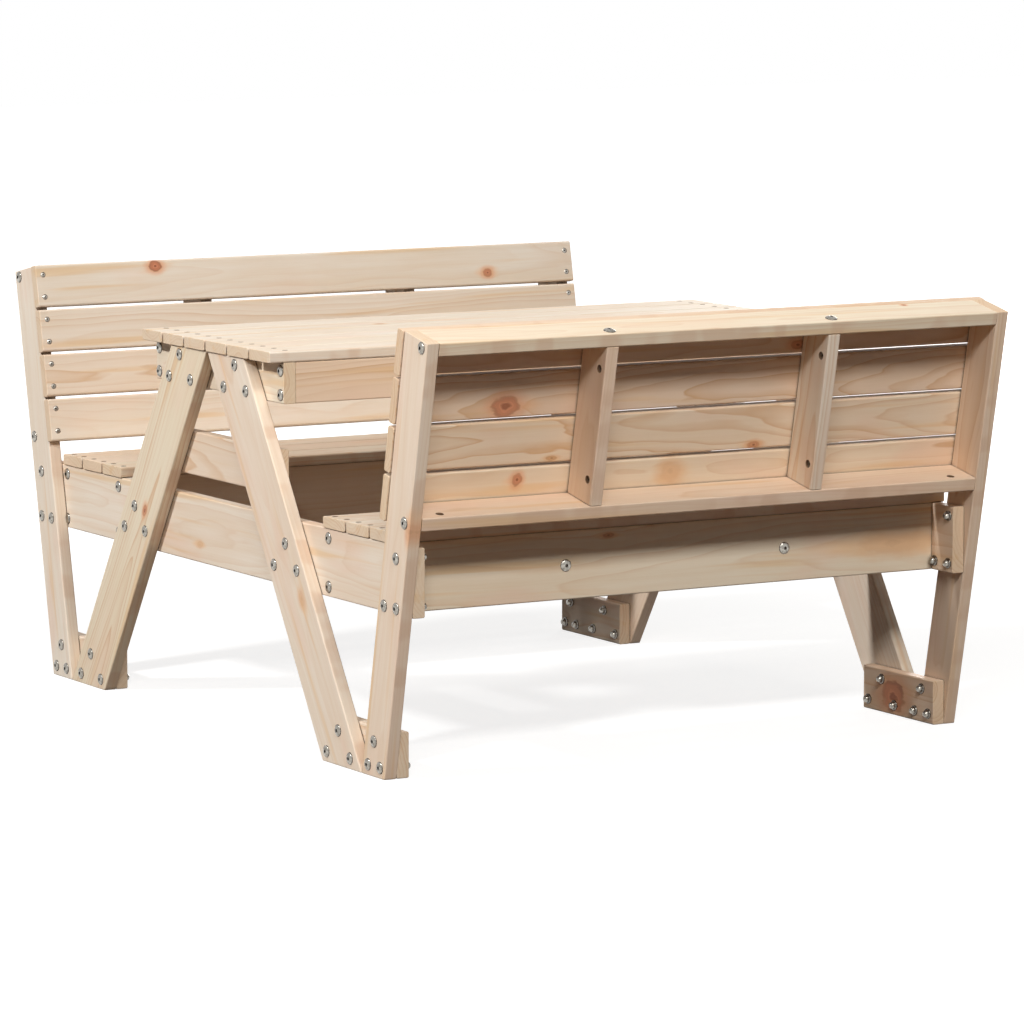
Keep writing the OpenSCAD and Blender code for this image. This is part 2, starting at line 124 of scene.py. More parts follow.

# Profiles of the turned fasteners, from shank to middle of the head: radius, height over the face that
# they sit on, and how much painted shade darkens the steel there, 0 to 1, as in sockets and round rims.
# A socket is its half width and its bottom's height.
BOLT_R, HEAD_R, NUT_R, BARREL_R = 3.0, 8.0, 7.0, 5.0
BOLT_PROFILE = [(BOLT_R, -34.0), (BOLT_R, 0.0), (HEAD_R, 0.0, 1), (HEAD_R, 0.55, 1), (7.75, 0.95, 0.55),
                (7.2, 1.4), (6.3, 1.9), (5.2, 2.35), (4.0, 2.7), (3.1, 2.85), (2.6, 2.8, 0.3)]
BOLT_SOCKET = (2.0, 0.7)
NUT_PROFILE = [(3.2, 0.0), (NUT_R, 0.0, 1), (NUT_R, 1.2, 0.8), (6.7, 1.7, 0.3), (5.9, 2.1, 0.8),
               (5.15, 2.4, 1), (4.9, 3.2, 0.5), (4.75, 4.6), (4.3, 5.9), (3.4, 7.0), (2.1, 7.7), (0.9, 7.97)]
BARREL_HALF, BARREL_EASE = 6.5, 0.4
BARREL_TOP = BARREL_HALF - BOARD_T / 2
BARREL_FOOT = BARREL_TOP - 2 * BARREL_HALF
BARREL_PROFILE = [(BARREL_R - BARREL_EASE, BARREL_FOOT), (BARREL_R, BARREL_FOOT + BARREL_EASE),
                  (BARREL_R, BARREL_TOP - BARREL_EASE, 1), (BARREL_R - BARREL_EASE, BARREL_TOP, 0.3),
                  (3.0, BARREL_TOP)]
BARREL_SOCKET = (1.6, BARREL_TOP - 2.5)
SCREW_R, SCREW_SHANK_R, SCREW_SEGMENTS = 3.75, 1.75, 18
SCREW_END, SCREW_CONE = -5.5, -2.4
SCREW_RIM, SCREW_EDGE = (SCREW_R, -0.25, 0.8), (SCREW_R - 0.3, 0.0, 0.1)
SCREW_DOME, SCREW_SOCKET = [(2.7, 0.25), (1.3, 0.45)], (0.95, -1.7)

# Holes in the boards, and how far cutters stand out of the face
CUT_ABOVE = 1.0
BARREL_HOLE = [(BARREL_R + CLEARANCE, -BARREL_HOLE_DEPTH), (BARREL_R + CLEARANCE, -0.5),
               (BARREL_R + 0.7, CUT_ABOVE)]
SCREW_HOLE_END, SINK_TOP, SINK_PLAY, SINK_MOUTH = -7.0, -0.3, 0.1, 0.25

# Eased edges of the boards, and how finely round forms are divided
EASE = {"frame_pine": 2.2, "slat_pine": 3.0}
END_EASE = 0.9
EASE_STEPS, END_STEPS = 4, 3
TURNED_SEGMENTS = 24
# A socket's chamfer, and the painted shade at its rim
SOCKET_CHAMFER, SOCKET_RIM_SHADE = 0.1, 0.7
WOOD_SMOOTH, STEEL_SMOOTH, FLAT_WEIGHT = 35, 32, 90

# Knots on each board's broad face: place along and across it, half length, half width, redness,
# and how dark the knot is in its middle
KNOTS = {
    "back_slat_rear_1": [(-253, 21, 9, 7, 1.0, 1.0), (295, -12, 7, 6, 0.9, 0.9)],
    "back_slat_front_1": [(152, -18, 10, 6, 0.8, 0.7)],
    "back_slat_front_2": [(-282, -14, 18, 13, 1.0, 0.75)],
    "back_slat_front_3": [(102, -25, 9, 5, 0.6, 0.8), (-205, -24, 7, 3, 0.2, 0.6)],
    "back_slat_front_4": [(-254, 14, 7, 8, 0.9, 0.8), (-23, 10, 13, 14, 0.5, 0.1)],
    "seat_front_outer_board": [(340, -5, 44, 13, 0.5, 0.1), (-104, 35, 8, 3, 0.4, 0.7)],
    "foot_board_front_right": [(-12, -5, 25, 19, 1.0, 0.85)],
    "leg_rear_left": [(26, -11, 8, 5, 0.9, 0.7)],
    "leg_rear_right": [(-120, 10, 9, 7, 0.8, 0.8)],
    "leg_front_right": [(150, -16, 8, 6, 0.7, 0.6)],
    "post_front_left": [(46, -29, 10, 6, 0.9, 0.15)],
    "post_rear_right": [(-60, 8, 7, 6, 0.8, 0.8)],
    "back_top_rail_front": [(308, 24, 4, 3, 0.8, 0.9)],
    "table_slat_2": [(210, 12, 6, 4, 0.4, 0.6)],
    "table_slat_5": [(-130, -10, 7, 5, 0.3, 0.6)],
    "seat_rear_outer_board": [(220, 12, 12, 9, 0.8, 0.8)],
    "seat_front_inner_board": [(-90, -14, 9, 8, 0.7, 0.7)],
    "seat_slat_front_2": [(120, 8, 6, 5, 0.5, 0.6)],
    "seat_slat_rear_3": [(-220, -9, 7, 5, 0.6, 0.7)],
    "back_slat_rear_3": [(60, 9, 9, 7, 0.7, 0.3)],
    "crossbar_right": [(-60, 15, 12, 9, 0.8, 0.8)],
    "crossbar_left": [(60, -20, 7, 4, 0.5, 0.1)],
    "leg_front_left": [(-70, 20, 10, 6, 0.6, 0.1)],
}

# Boards with a tone of their own: how yellow, how pink, how strong the rings, each 0 to 1. The others
# get one by chance, at most as yellow and as pink as RANDOM_TONES says.
TONES = {
    "back_slat_front_1": (0.2, 1.0, 0.9), "back_slat_front_2": (0.1, 1.0, 0.9),
    "back_slat_front_3": (0.8, 0.7, 0.9), "back_slat_front_4": (0.9, 0.7, 0.7),
    "back_slat_rear_1": (0.3, 0.1, 0.3), "back_slat_rear_2": (0.2, 0.6, 0.5),
    "back_slat_rear_3": (0.2, 0.7, 0.6), "back_slat_rear_4": (0.3, 0.2, 0.3),
    "back_top_rail_front": (0.8, 0.15, 0.35), "back_bottom_rail_front": (0.2, 1.0, 0.4),
    "seat_front_outer_board": (0.8, 0.5, 0.5), "leg_rear_left": (1.0, 0.3, 0.8),
    "leg_front_left": (0.1, 0.6, 0.25), "post_front_left": (0.2, 0.7, 0.25),
    "post_rear_left": (0.1, 0.4, 0.2), "seat_rear_inner_board": (0.2, 0.8, 0.4),
    "foot_board_front_right": (0.2, 1.0, 0.9), "crossbar_left": (0.4, 0.5, 0.35),
    "post_front_right": (0.3, 1.0, 0.6), "crossbar_right": (0.3, 1.0, 0.7),
    "table_apron_front": (0.6, 1.0, 1.0), "back_rib_front_left": (0.3, 0.9, 0.3),
    "table_slat_1": (0.2, 0.1, 0.3), "table_slat_2": (0.5, 0.0, 0.35), "table_slat_3": (0.1, 0.2, 0.25),
    "table_slat_4": (0.4, 0.1, 0.4), "table_slat_5": (0.0, 0.3, 0.3), "table_slat_6": (0.3, 0.0, 0.3),
}
RANDOM_TONES = (0.8, 0.9)

# Where a board may lie in its log, in metres: aside from the middle, out from it, how far its ends
# wander per metre of length, and how far along
LOG_ASIDE, LOG_OUT = 0.022, (0.022, 0.075)
WANDER_Y, WANDER_Z, LOG_ALONG = 0.015, 0.028, 40

# Walls of a hole are sought this far beyond its radius. A face counts as end, narrow side or broad face
# where its normal has at least this part along the board, across it or out of it.
HOLE_REACH = 1.0
END_FACE, NARROW_FACE, BROAD_FACE = 0.6, 0.8, 0.95

# The place of a point that is far from any knot, in half sizes, and the knot's redness
NO_KNOT = [60.0, 60.0, 0.0]


# Places of the fasteners

def leg_y(z):
    """The middle of a rear leg at a height."""
    return LEG_FOOT_Y - LEG_CUT / 2 - z * math.tan(LEG_LEAN)


def post_y(z):
    """The middle of a rear post at a height."""
    return POST_IN + POST_W / math.cos(POST_LEAN) / 2 + z * math.tan(POST_LEAN)


def triangle(middle, z, spread):
    """Two bolts side by side and one above them, round the middle of a leg or post at that height."""
    y = middle(z)
    return [(y - spread / 2, z), (y + spread / 2, z), (y, z + PITCH)]


POST_LOW_Y = max(post_y(CROSSBAR_MID - PITCH), SEAT_REAR + NUT_R + CLEARANCE + PITCH / 2)
FRAME_BOLTS = (triangle(leg_y, APRON_MID - PITCH / 2, 2 * PITCH)
               + triangle(leg_y, CROSSBAR_MID - PITCH / 2, 2 * PITCH)
               + triangle(leg_y, FOOT_BOLT_Z, 2 * PITCH)
               + triangle(post_y, FOOT_BOLT_Z, PITCH)
               + [(POST_LOW_Y - PITCH / 2, CROSSBAR_MID - PITCH),
                  (POST_LOW_Y + PITCH / 2, CROSSBAR_MID - PITCH),
                  (POST_LOW_Y + PITCH / 2, CROSSBAR_MID + PITCH)])
BOARD_BOLTS = ([(APRON_Y, APRON_MID + z) for z in (-PITCH / 2, PITCH / 2)]
               + [(y, CROSSBAR_MID + z) for y in (FRONT_BOARD_Y, REAR_BOARD_Y) for z in (-PITCH, PITCH)])
BRACE_SCREWS = [(leg_y(BRACE_Z) + y, BRACE_Z - y * BRACE_SCREW_SLOPE) for y in BRACE_SCREW_YS]


def on_back(x, across, up):
    """A point of the rear backrest: across inward from the outer edge, up along the post."""
    sin, cos = math.sin(POST_LEAN), math.cos(POST_LEAN)
    return Vector((x, POST_OUT - across * cos + up * sin, across * sin + up * cos))


BACK_ACROSS = Vector((0, -math.cos(POST_LEAN), math.sin(POST_LEAN)))
BACK_UP = Vector((0, math.sin(POST_LEAN), math.cos(POST_LEAN)))


def mirrored(vector, e, s):
    return Vector((vector.x * e, vector.y * s, vector.z))


def quarters():
    return [(e, s) for s in SIDES.values() for e in ENDS.values()]


def facing(point, direction, e=1, s=1):
    """Matrix of a fastener: its origin at the point, its +Z along the direction, both mirrored."""
    normal = mirrored(direction, e, s).normalized()
    turn = normal.to_track_quat("Z", "Y").to_matrix().to_4x4()
    return Matrix.Translation(mirrored(Vector(point), e, s)) @ turn


# Meshes

def rounded_section(width, thick, radius):
    """The outline of a board across its grain, as points (y, z)."""
    points = []
    for quarter, (cy, cz) in enumerate(((1, 1), (-1, 1), (-1, -1), (1, -1))):
        for step in range(EASE_STEPS + 1):
            angle = math.radians(90 * quarter + 90 * step / EASE_STEPS)
            points.append((cy * (width / 2 - radius) + radius * math.cos(angle),
                           cz * (thick / 2 - radius) + radius * math.sin(angle)))
    return points


def board_mesh(name, length, width, thick, ease, lean_start, lean_end):
    """A board along X with eased edges, its ends leaning by the two slopes across the width."""
    bm = bmesh.new()
    rings = []
    for sign, lean in ((-1, lean_start), (1, lean_end)):
        end = []
        for step in range(END_STEPS + 1):
            angle = math.radians(90 * step / END_STEPS)
            inset = END_EASE * (1 - math.sin(angle))
            back = END_EASE * (1 - math.cos(angle))
            section = rounded_section(width - 2 * inset, thick - 2 * inset, ease - inset)
            end.append([bm.verts.new((sign * (length / 2 - back) + lean * y, y, z)) for y, z in section])
        rings += end if sign < 0 else end[::-1]
    count = len(rings[0])
    for one, two in zip(rings, rings[1:]):
        for i in range(count):
            j = (i + 1) % count
            bm.faces.new((one[i], one[j], two[j], two[i]))
    bm.faces.new(rings[0][::-1])
    bm.faces.new(rings[-1])
    bmesh.ops.recalc_face_normals(bm, faces=bm.faces)
    bmesh.ops.scale(bm, vec=(MM, MM, MM), verts=bm.verts)
    mesh = bpy.data.meshes.new(name)
    bm.to_mesh(mesh)
    bm.free()
    return mesh


def lathe(profile, socket=None, segments=TURNED_SEGMENTS):
    """A profile turned round Z, with an optional hexagon socket, as vertices, faces and painted shade."""
    verts, faces, rings, steel_shade = [], [], [], []

    def ring(points, dark):
        rings.append(range(len(verts), len(verts) + len(points)))
        verts.extend(points)
        steel_shade.extend([dark] * len(points))

    angles = [2 * math.pi * i / segments for i in range(segments)]
    for radius, z, *dark in profile:
        ring([(radius * math.cos(a), radius * math.sin(a), z) for a in angles], sum(dark))
    if socket:
        half, z_bottom = socket
        for z, dark in ((profile[-1][1] - SOCKET_CHAMFER, SOCKET_RIM_SHADE), (z_bottom, 1.0)):
            points = []
            for a in angles:
                r = half / math.cos((a + math.pi / 6) % (math.pi / 3) - math.pi / 6)
                points.append((r * math.cos(a), r * math.sin(a), z))
            ring(points, dark)
    for one, two in zip(rings, rings[1:]):
        for i in range(segments):
            j = (i + 1) % segments
            faces.append((one[i], one[j], two[j], two[i]))
    faces.append(tuple(rings[0])[::-1])
    faces.append(tuple(rings[-1]))
    return verts, faces, steel_shade


def stamped(name, *groups):
    """One mesh of many copies of solids. Each group is a solid and its matrices, in millimetres."""
    all_verts, all_faces, all_steel_shade = [], [], []
    for (verts, faces, steel_shade), places in groups:
        points = np.array([list(v) + [1.0] for v in verts])
        for place in places:
            start = len(all_verts)
            all_verts.extend((points @ np.array(place).T)[:, :3] * MM)
            all_faces.extend([tuple(start + i for i in face) for face in faces])
            all_steel_shade.extend(steel_shade)
    mesh = bpy.data.meshes.new(name)
    mesh.from_pydata([tuple(v) for v in all_verts], [], all_faces)
    mesh.update()
    # Painted shade of the steel, for each vertex
    layer = mesh.attributes.new("steel_shade", "FLOAT", "POINT")
    layer.data.foreach_set("value", all_steel_shade)
    return mesh


def screw_solid(shade=0.0):
    """A countersunk screw. The shade is how much its head is darkened by painted shade."""
    edge_r, edge_z, edge_dark = SCREW_EDGE
    head = [(SCREW_SHANK_R, SCREW_CONE), SCREW_RIM, (edge_r, edge_z, max(shade, edge_dark))]
    head += [(radius, z, shade) for radius, z in SCREW_DOME]
    sunk = [(radius, z - SCREW_SUNK, *dark) for radius, z, *dark in head]
    return lathe([(SCREW_SHANK_R, SCREW_END)] + sunk, SCREW_SOCKET, SCREW_SEGMENTS)


def screw_hole(deep):
    """The cutter of a countersunk hole, whose cone begins that deep below the face."""
    return lathe([(SCREW_SHANK_R, SCREW_HOLE_END), (SCREW_SHANK_R, SCREW_CONE - deep),
                  (SCREW_R + SINK_PLAY, SINK_TOP - deep), (SCREW_R + SINK_MOUTH, 0.0),
                  (SCREW_R + SINK_MOUTH, CUT_ABOVE)])


def smooth(piece, angle):
    """Smooth shading within the angle, with the flat faces kept flat."""
    piece.data.shade_smooth()
    piece.data.set_sharp_from_angle(angle=math.radians(angle))
    weighted = piece.modifiers.new("flat_faces", "WEIGHTED_NORMAL")
    weighted.keep_sharp = True
    weighted.weight = FLAT_WEIGHT


def link(name, data):
    """A new object of the scene."""
    made = bpy.data.objects.new(name, data)
    bpy.context.scene.collection.objects.link(made)
    return made


# Boards

class Board:
    """A board with its grain along its local X, replacing the node of the same name."""

    def __init__(self, node, centre, along, across, length, width, thick,
                 e=1, s=1, leans=(0, 0), slot="frame_pine"):
        self.node, self.slot = node, slot
        along, across = mirrored(along, e, s).normalized(), mirrored(across, e, s).normalized()
        turn = Matrix((along, across, along.cross(across))).transposed().to_4x4()
        self.place = Matrix.Translation(mirrored(centre, e, s)) @ turn
        self.mesh = board_mesh("wood_" + node, length, width, thick, EASE[slot], *leans)
        self.barrel_holes, self.screw_holes, self.deep_holes = [], [], []

    def local(self, place):
        """A fastener's place in the board's own coordinates."""
        return self.place.inverted() @ place

    def cutters(self):
        """Meshes of the holes in this board, in its own coordinates."""
        for solid, places in ((lathe(BARREL_HOLE), self.barrel_holes), (screw_hole(0.0), self.screw_holes),
                              (screw_hole(SCREW_DEEP), self.deep_holes)):
            if places:
                yield stamped("cutter_" + self.node, (solid, [self.local(p) for p in places]))


def all_boards():
    """Every board of the table by its node's name, in the order of the construction."""
    boards = {}

    def add(node, *args, **kwargs):
        boards[node] = Board(node, *args, **kwargs)

    for i in range(TABLE_SLATS):
        y = -TABLE_HALF + i * SLAT_PITCH + SLAT_W / 2
        add("table_slat_%d" % (i + 1), Vector((0, y, TABLE_H - SLAT_T / 2)), X, Y,
            2 * TABLE_X, SLAT_W, SLAT_T, slot="slat_pine")
    for end, e in ENDS.items():
        add("table_cleat_" + end, Vector((X_MID - BOARD_T / 2, 0, APRON_MID)), Y, Z,
            2 * CLEAT_HALF, APRON_H, BOARD_T, e=e)
        add("crossbar_" + end, Vector((X_MID - BOARD_T / 2, 0, CROSSBAR_MID)), Y, Z,
            2 * CROSSBAR_HALF, CROSSBAR_W, BOARD_T, e=e)
        add("leg_brace_" + end, Vector((X_MID - BOARD_T / 2, 0, BRACE_Z)), Y, Z,
            2 * (leg_y(BRACE_Z) + BRACE_REACH), BRACE_W, BOARD_T, e=e)
    for side, s in SIDES.items():
        add("table_apron_" + side, Vector((0, APRON_Y, APRON_MID)), X, Z,
            2 * X_IN, APRON_H, BOARD_T, s=s)
        for name, y in (("inner", FRONT_BOARD_Y), ("outer", REAR_BOARD_Y)):
            add("seat_%s_%s_board" % (side, name), Vector((0, y, CROSSBAR_MID)), X, Z,
                2 * X_IN, CROSSBAR_W, BOARD_T, s=s)
        for i in range(SEAT_SLATS):
            y = SEAT_FRONT + i * SLAT_PITCH + SLAT_W / 2
            add("seat_slat_%s_%d" % (side, i + 1), Vector((0, y, CROSSBAR_TOP + SLAT_T / 2)), X, Y,
                2 * SEAT_X, SLAT_W, SLAT_T, s=s, slot="slat_pine")
        for i in range(BACK_SLATS):
            up = POST_LENGTH - i * SLAT_PITCH - SLAT_W / 2
            add("back_slat_%s_%d" % (side, i + 1), on_back(0, POST_W + SLAT_T / 2, up), X, BACK_UP,
                2 * BACK_X, SLAT_W, SLAT_T, s=s, slot="slat_pine")
        for name, up in (("top", TOP_RAIL_UP), ("bottom", BOTTOM_RAIL_UP)):
            add("back_%s_rail_%s" % (name, side), on_back(0, POST_W / 2, up + BOARD_T / 2), X, BACK_ACROSS,
                2 * X_MID, POST_W, BOARD_T, s=s)
        for end, e in ENDS.items():
            corner = "_%s_%s" % (side, end)
            x = X_MID + BOARD_T / 2
            slope = math.tan(LEG_LEAN)
            add("leg" + corner, Vector((x, leg_y(UNDER_Z / 2), UNDER_Z / 2)), LEG_UP, LEG_ACROSS,
                UNDER_Z / math.cos(LEG_LEAN), LEG_W, BOARD_T, e=e, s=s, leans=(-slope, -slope))
            below = on_back(x, POST_W / 2, 0).z / math.cos(POST_LEAN)
            length = POST_LENGTH + below
            add("post" + corner, on_back(x, POST_W / 2, POST_LENGTH - length / 2), BACK_UP, BACK_ACROSS,
                length, POST_W, BOARD_T, e=e, s=s, leans=(-math.tan(POST_LEAN), 0))
            add("foot_board" + corner,
                Vector((X_IN + BOARD_T / 2, (LEG_IN + POST_OUT) / 2, FOOT_BOARD_H / 2)), Y, Z,
                POST_OUT - LEG_IN, FOOT_BOARD_H, BOARD_T, e=e, s=s)
            add("seat_rib" + corner, Vector((RIB_X, (REAR_BOARD_Y + FRONT_BOARD_Y) / 2, CROSSBAR_MID)),
                Y, Z, REAR_BOARD_Y - FRONT_BOARD_Y - BOARD_T, CROSSBAR_W, BOARD_T, e=e, s=s)
            add("back_rib" + corner, on_back(RIB_X, POST_W / 2, RIB_UP + RIB_LENGTH / 2),
                BACK_UP, BACK_ACROSS, RIB_LENGTH, POST_W, BOARD_T, e=e, s=s)
    return boards


# Holes and fasteners

def screw_rows(count):
    """Where the screws of some slats are, from the edge of the first slat on."""
    return [i * SLAT_PITCH + SCREW_MARGIN + k * PITCH for i in range(count) for k in (0, 1)]


def screw_places(boards):
    """Matrices of the screws from above and of the others, each also given to its board."""
    from_above, others = [], []

    def put(node, place, deep=False):
        if deep:
            boards[node].deep_holes.append(place)
            from_above.append(place @ Matrix.Translation((0, 0, -SCREW_DEEP)))
        else:
            boards[node].screw_holes.append(place)
            others.append(place)

    for e in ENDS.values():
        for k, y in enumerate(screw_rows(TABLE_SLATS)):
            put("table_slat_%d" % (k // 2 + 1),
                facing((X_MID - BOARD_T / 2, y - TABLE_HALF, TABLE_H), Z, e), deep=True)
    for side, s in SIDES.items():
        for end, e in ENDS.items():
            for k, y in enumerate(screw_rows(SEAT_SLATS)):
                place = facing((X_MID - BOARD_T / 2, SEAT_FRONT + y, CROSSBAR_TOP + SLAT_T), Z, e, s)
                put("seat_slat_%s_%d" % (side, k // 2 + 1), place, deep=True)
            for k, down in enumerate(screw_rows(BACK_SLATS)):
                point = on_back(X_MID + BOARD_T / 2, POST_W + SLAT_T, POST_LENGTH - down)
                put("back_slat_%s_%d" % (side, k // 2 + 1), facing(point, BACK_ACROSS, e, s))
            for y, z in BRACE_SCREWS:
                put("leg_brace_" + end, facing((X_IN, y, z), -X, e, s))
    return from_above, others


def bolt_places():
    """Matrices of the bolts' heads, standing on their boards."""
    places = []
    for e, s in quarters():
        places += [facing((X_OUT, y, z), X, e, s) for y, z in FRAME_BOLTS]
        places += [facing((X_MID, y, z), X, e, s) for y, z in BOARD_BOLTS]
        for up in (TOP_RAIL_UP, BOTTOM_RAIL_UP):
            places.append(facing(on_back(X_OUT, BACK_BOLT, up + BOARD_T / 2), X, e, s))
        places.append(facing(on_back(RIB_X, BACK_BOLT, POST_LENGTH), BACK_UP, e, s))
        places.append(facing(on_back(RIB_X, BACK_BOLT, BOTTOM_RAIL_UP), -BACK_UP, e, s))
        places.append(facing((RIB_X, FRONT_BOARD_Y - BOARD_T / 2, CROSSBAR_MID), -Y, e, s))
        places.append(facing((RIB_X, REAR_BOARD_Y + BOARD_T / 2, CROSSBAR_MID), Y, e, s))
    return places


def cap_nut_places():
    """Matrices of the cap nuts, on the inner faces behind the bolts of legs and posts."""
    return [facing((X_IN, y, z), -X, e, s) for e, s in quarters() for y, z in FRAME_BOLTS]


def barrel_places(boards):
    """Matrices of the barrel nuts' holes, open along +Z, each also given to its board."""
    places = []

    def put(node, point, direction, e, s):
        place = facing(point, direction, e, s)
        boards[node].barrel_holes.append(place)
        places.append(place)

    half = BOARD_T / 2
    for side, s in SIDES.items():
        for end, e in ENDS.items():
            x = X_IN - BARREL_DEPTH
            for z in (-PITCH / 2, PITCH / 2):
                put("table_apron_" + side, (x, APRON_Y - half, APRON_MID + z), -Y, e, s)
            for z in (-PITCH, PITCH):
                put("seat_%s_inner_board" % side, (x, FRONT_BOARD_Y + half, CROSSBAR_MID + z), Y, e, s)
                put("seat_%s_outer_board" % side, (x, REAR_BOARD_Y - half, CROSSBAR_MID + z), -Y, e, s)
            x = X_MID - BARREL_DEPTH
            put("back_top_rail_" + side, on_back(x, BACK_BOLT, TOP_RAIL_UP), -BACK_UP, e, s)
            put("back_bottom_rail_" + side, on_back(x, BACK_BOLT, BOTTOM_RAIL_UP + BOARD_T), BACK_UP, e, s)
            for up in (RIB_UP + BARREL_DEPTH, RIB_UP + RIB_LENGTH - BARREL_DEPTH):
                put("back_rib_%s_%s" % (side, end), on_back(e * RIB_X - half, BACK_BOLT, up), -X, 1, s)
            for y in (FRONT_BOARD_Y + half + BARREL_DEPTH, REAR_BOARD_Y - half - BARREL_DEPTH):
                put("seat_rib_%s_%s" % (side, end), (RIB_X - half, y, CROSSBAR_MID), -X, e, s)
    return places


# Wood in the boards

def write_vectors(mesh, name, values):
    layer = mesh.attributes.new(name, "FLOAT_VECTOR", "POINT")
    layer.data.foreach_set("vector", np.ascontiguousarray(values, dtype=np.float32).ravel())


def place_in_log(board):
    """Gives each vertex its place in the log that the board was sawn from, and in its knots."""
    mesh = board.mesh
    dice = random.Random("log " + board.node)
    points = np.empty(len(mesh.vertices) * 3, dtype=np.float32)
    mesh.vertices.foreach_get("co", points)
    points = points.reshape(-1, 3).astype(float)
    x, y, z = points.T
    aside = dice.uniform(-LOG_ASIDE, LOG_ASIDE)
    out = dice.uniform(*LOG_OUT) * dice.choice((-1, 1))
    wander_y, wander_z = dice.uniform(-WANDER_Y, WANDER_Y), dice.uniform(-WANDER_Z, WANDER_Z)
    log = np.stack([x + dice.uniform(-LOG_ALONG, LOG_ALONG), y + aside + wander_y * x,
                    z + out + wander_z * x], axis=1)
    write_vectors(mesh, "log_place", log)
    yellow, pink = RANDOM_TONES
    tones = TONES.get(board.node, (dice.uniform(0, yellow), dice.uniform(0, pink), dice.random()))
    write_vectors(mesh, "board_tone", np.tile(tones, (len(points), 1)))
    knots = KNOTS.get(board.node, [])
    cores = [0.0, 0.0, 0.0]
    for i in range(2):
        near = np.tile(NO_KNOT, (len(points), 1))
        if i < len(knots):
            kx, ky, half_length, half_width, red, cores[i] = knots[i]
            near = np.stack([(x / MM - kx) / half_length, (y / MM - ky) / half_width,
                             np.full_like(x, red)], axis=1)
        write_vectors(mesh, "knot_%d" % (i + 1), near)
    write_vectors(mesh, "knot_cores", np.tile(cores, (len(points), 1)))


def mark_faces(board):
    """Marks the faces of the board that are end grain, narrow sides or walls of drilled holes."""
    holes = [(board.local(place).translation, radius + HOLE_REACH)
             for places, radius in ((board.screw_holes + board.deep_holes, SCREW_R),
                                    (board.barrel_holes, BARREL_R)) for place in places]

    def in_hole(face):
        centre = face.center / MM
        return (abs(face.normal.z) < BROAD_FACE
                and any((centre - hole).xy.length < reach for hole, reach in holes))

    def end_grain(face):
        return abs(face.normal.x) > END_FACE and not in_hole(face)

    def narrow_side(face):
        return abs(face.normal.y) > NARROW_FACE and not in_hole(face)

    for name, chosen in (("end_grain", end_grain), ("narrow_side", narrow_side), ("hole_wall", in_hole)):
        layer = board.mesh.attributes.new(name, "FLOAT", "FACE")
        layer.data.foreach_set("value", [float(chosen(face)) for face in board.mesh.polygons])


# Materials

class Graph:
    """Short calls for the nodes of a material or world. A value is a number, a colour or a socket."""

    def __init__(self, owner, shader="Principled BSDF"):
        owner.use_nodes = True
        self.owner, self.tree = owner, owner.node_tree
        self.shader = self.tree.nodes[shader]

    def put(self, node, socket, value):
        target = node.inputs[socket]
        if isinstance(value, bpy.types.NodeSocket):
            self.tree.links.new(value, target)
        else:
            target.default_value = value

    def set(self, **values):
        """Sets the shader's sockets, with _ for the spaces of their names."""
        for name, value in values.items():
            self.put(self.shader, name.replace("_", " "), value)

    def node(self, kind, inputs=None, **settings):
        made = self.tree.nodes.new("ShaderNode" + kind)
        for key, value in settings.items():
            setattr(made, key, value)
        for socket, value in (inputs or {}).items():
            self.put(made, socket, value)
        return made

    def attribute(self, name, output="Vector"):
        return self.node("Attribute", attribute_name=name).outputs[output]

    def coordinates(self, output):
        return self.node("TexCoord").outputs[output]

    def math(self, operation, a, b=0.0):
        return self.node("Math", {0: a, 1: b}, operation=operation).outputs[0]

    def plus(self, a, b):
        return self.math("ADD", a, b)

    def minus(self, a, b):
        return self.math("SUBTRACT", a, b)

    def times(self, a, b):
        return self.math("MULTIPLY", a, b)

    def scaled(self, vector, factors):
        return self.node("VectorMath", {0: vector, 1: factors}, operation="MULTIPLY").outputs[0]

    def length(self, vector):
        return self.node("VectorMath", {0: vector}, operation="LENGTH").outputs["Value"]

    def split(self, vector):
        made = self.node("SeparateXYZ", {0: vector})
        return made.outputs[0], made.outputs[1], made.outputs[2]

    def joined(self, x, y, z):
        return self.node("CombineXYZ", {0: x, 1: y, 2: z}).outputs[0]

    def noise(self, vector, scale, detail, rough=0.5):
        made = self.node("TexNoise", {"Vector": vector, "Scale": scale, "Detail": detail, "Roughness": rough})
        return made.outputs["Fac"]

    def between(self, value, low, high, to_low=0.0, to_high=1.0, interpolation="SMOOTHSTEP"):
        """How far the value is from low to high, 0 to 1 or as given."""
        made = self.node("MapRange", {0: value, 1: low, 2: high, 3: to_low, 4: to_high},
                         interpolation_type=interpolation)
        return made.outputs[0]

    def mix(self, factor, a, b):
        made = self.node("Mix", data_type="RGBA")
        for index, value in ((0, factor), (6, a), (7, b)):
            self.put(made, index, value)
        return made.outputs[2]

    def ramp(self, value, stops):
        """A curve through the stops, each a position and a grey."""
        made = self.node("ValToRGB", {0: value})
        elements = made.color_ramp.elements
        while len(elements) < len(stops):
            elements.new(0.5)
        for element, (position, grey) in zip(elements, stops):
            element.position = position
            element.color = (grey, grey, grey, 1.0)
        return made.outputs[0]

    def bump(self, strength, distance, height):
        made = self.node("Bump", {"Strength": strength, "Distance": distance, "Height": height})
        self.set(Normal=made.outputs["Normal"])


def rgb(red, green, blue):
    """A colour written as sRGB values from 0 to 255, as the linear values that shaders use."""
    values = [(c / 255 / 12.92) if c / 255 <= 0.04045 else ((c / 255 + 0.055) / 1.055) ** 2.4
              for c in (red, green, blue)]
    return (*values, 1.0)


WHITE = (1.0, 1.0, 1.0, 1.0)

